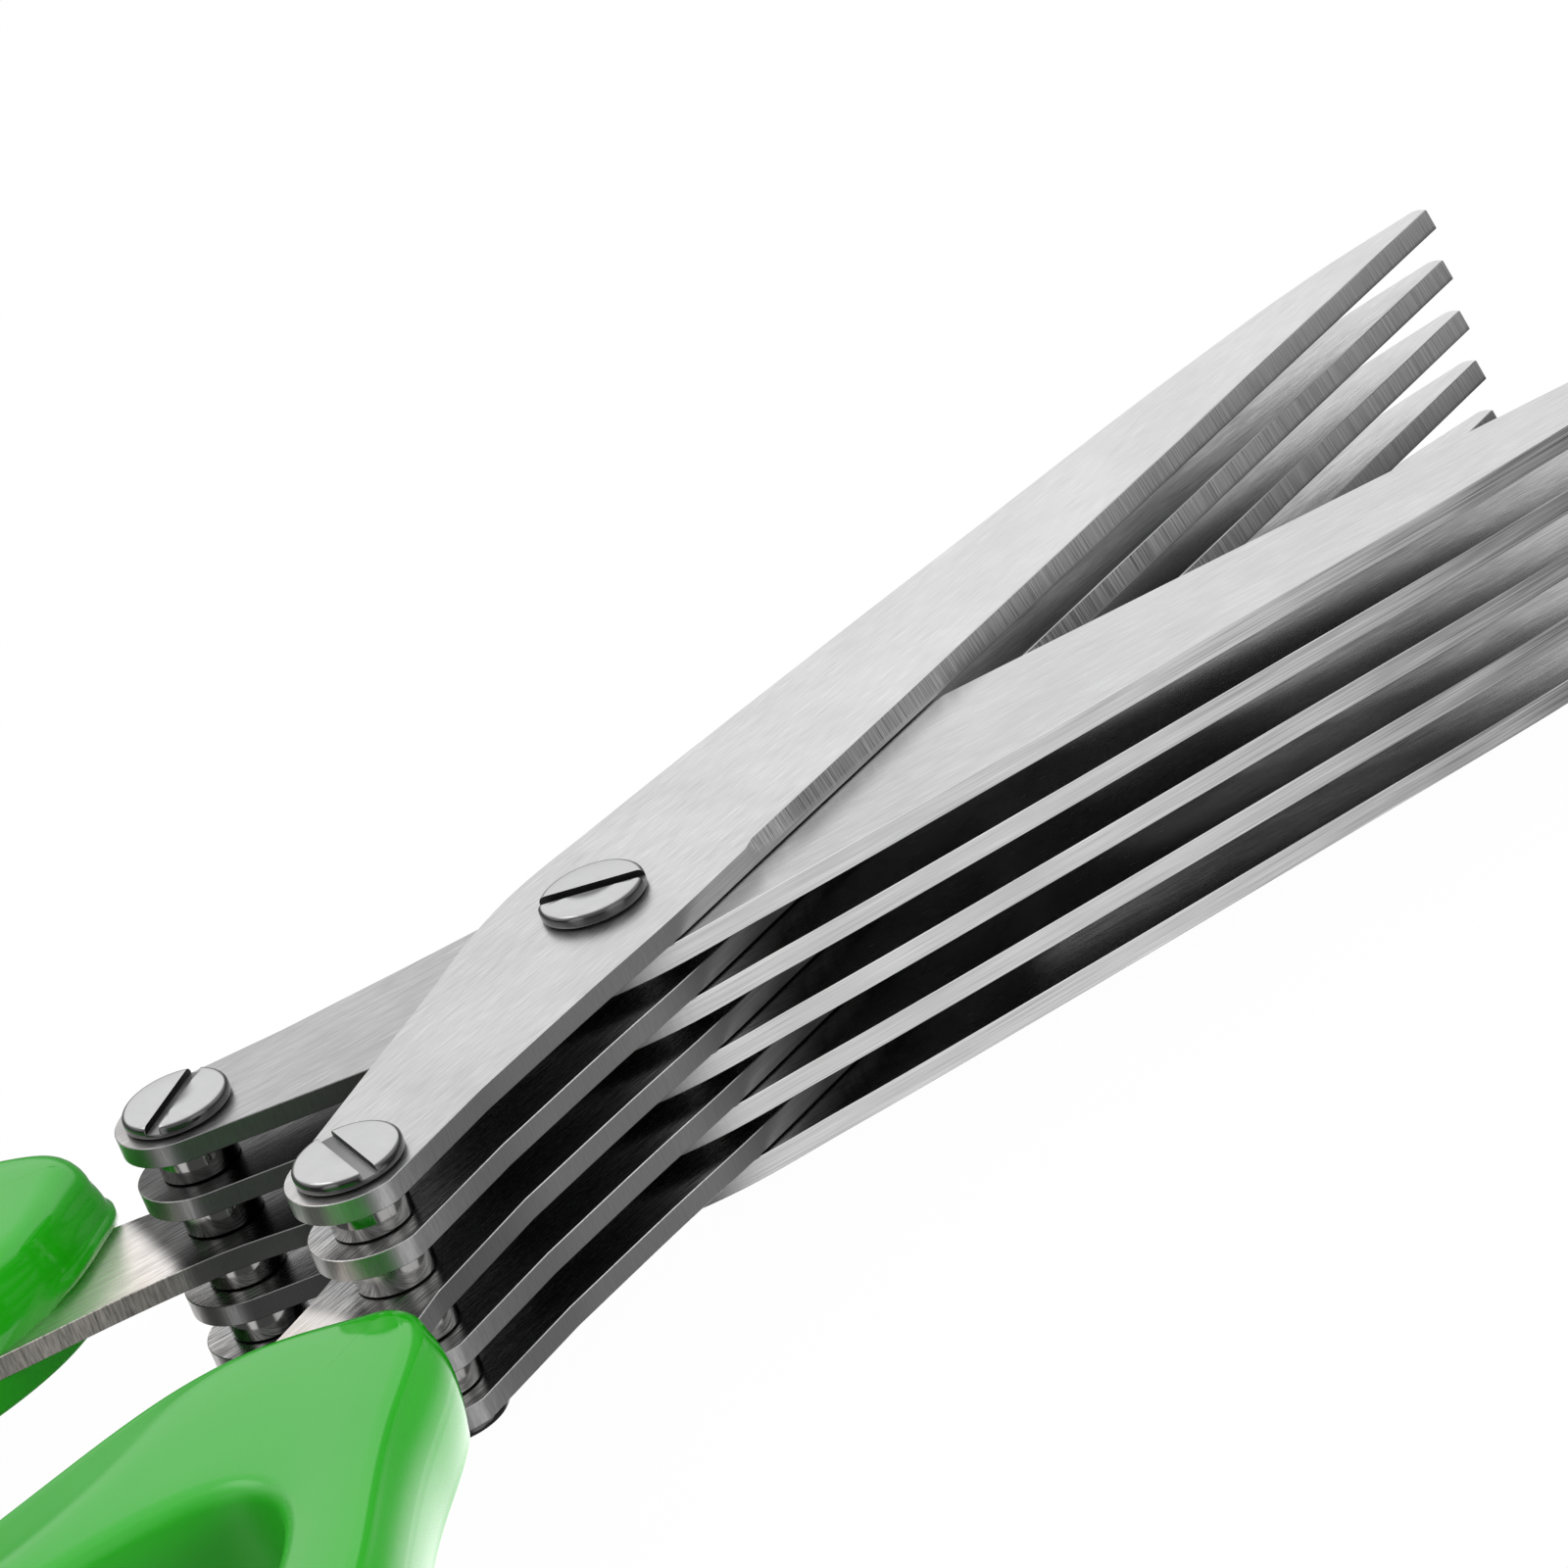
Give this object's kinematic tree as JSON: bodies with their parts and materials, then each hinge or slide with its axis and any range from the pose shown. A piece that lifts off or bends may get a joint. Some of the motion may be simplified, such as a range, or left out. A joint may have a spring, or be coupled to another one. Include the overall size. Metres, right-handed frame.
{
  "type": "herb scissors",
  "caption": "Herb scissors with stacked pairs of steel blades on one pivot and two moulded plastic handles with finger loops.",
  "frame": {"origin": "on the pivot's axis, at the underside of its sleeve nut", "axes": "+Z along the pivot's axis, towards the screw's head; +X out between the two sets of tips"},
  "size_m": [0.1879, 0.1104, 0.0211],
  "materials": {
    "blade_steel": "brushed along the blade, edges ground",
    "bright_screw": "bright turned steel",
    "polished_spacer": "polished turned steel",
    "green_handle": "glossy moulded"
  },
  "bodies": {
    "side_b": {"blade_b1": "blade_steel", "blade_b2": "blade_steel", "blade_b3": "blade_steel", "blade_b4": "blade_steel", "blade_b5": "blade_steel", "rear_screw_b": "bright_screw", "rear_sleeve_b": "bright_screw", "rear_spacer_b1": "polished_spacer", "rear_spacer_b2": "polished_spacer", "rear_spacer_b3": "polished_spacer", "rear_spacer_b4": "polished_spacer", "handle_b": "green_handle", "pivot_screw": "bright_screw", "pivot_sleeve": "bright_screw", "pivot_spacer_1": "polished_spacer", "pivot_spacer_2": "polished_spacer", "pivot_spacer_3": "polished_spacer", "pivot_spacer_4": "polished_spacer"},
    "side_a": {"blade_a1": "blade_steel", "blade_a2": "blade_steel", "blade_a3": "blade_steel", "blade_a4": "blade_steel", "blade_a5": "blade_steel", "rear_screw_a": "bright_screw", "rear_sleeve_a": "bright_screw", "rear_spacer_a1": "polished_spacer", "rear_spacer_a2": "polished_spacer", "rear_spacer_a3": "polished_spacer", "rear_spacer_a4": "polished_spacer", "handle_a": "green_handle"}
  },
  "joints": [
    {"name": "blade_pivot", "type": "hinge", "parent": "side_b", "child": "side_a", "pos_m": [0, 0, 0], "axis": [0, 0, 1], "range_deg": [-22, 40]}
  ]
}
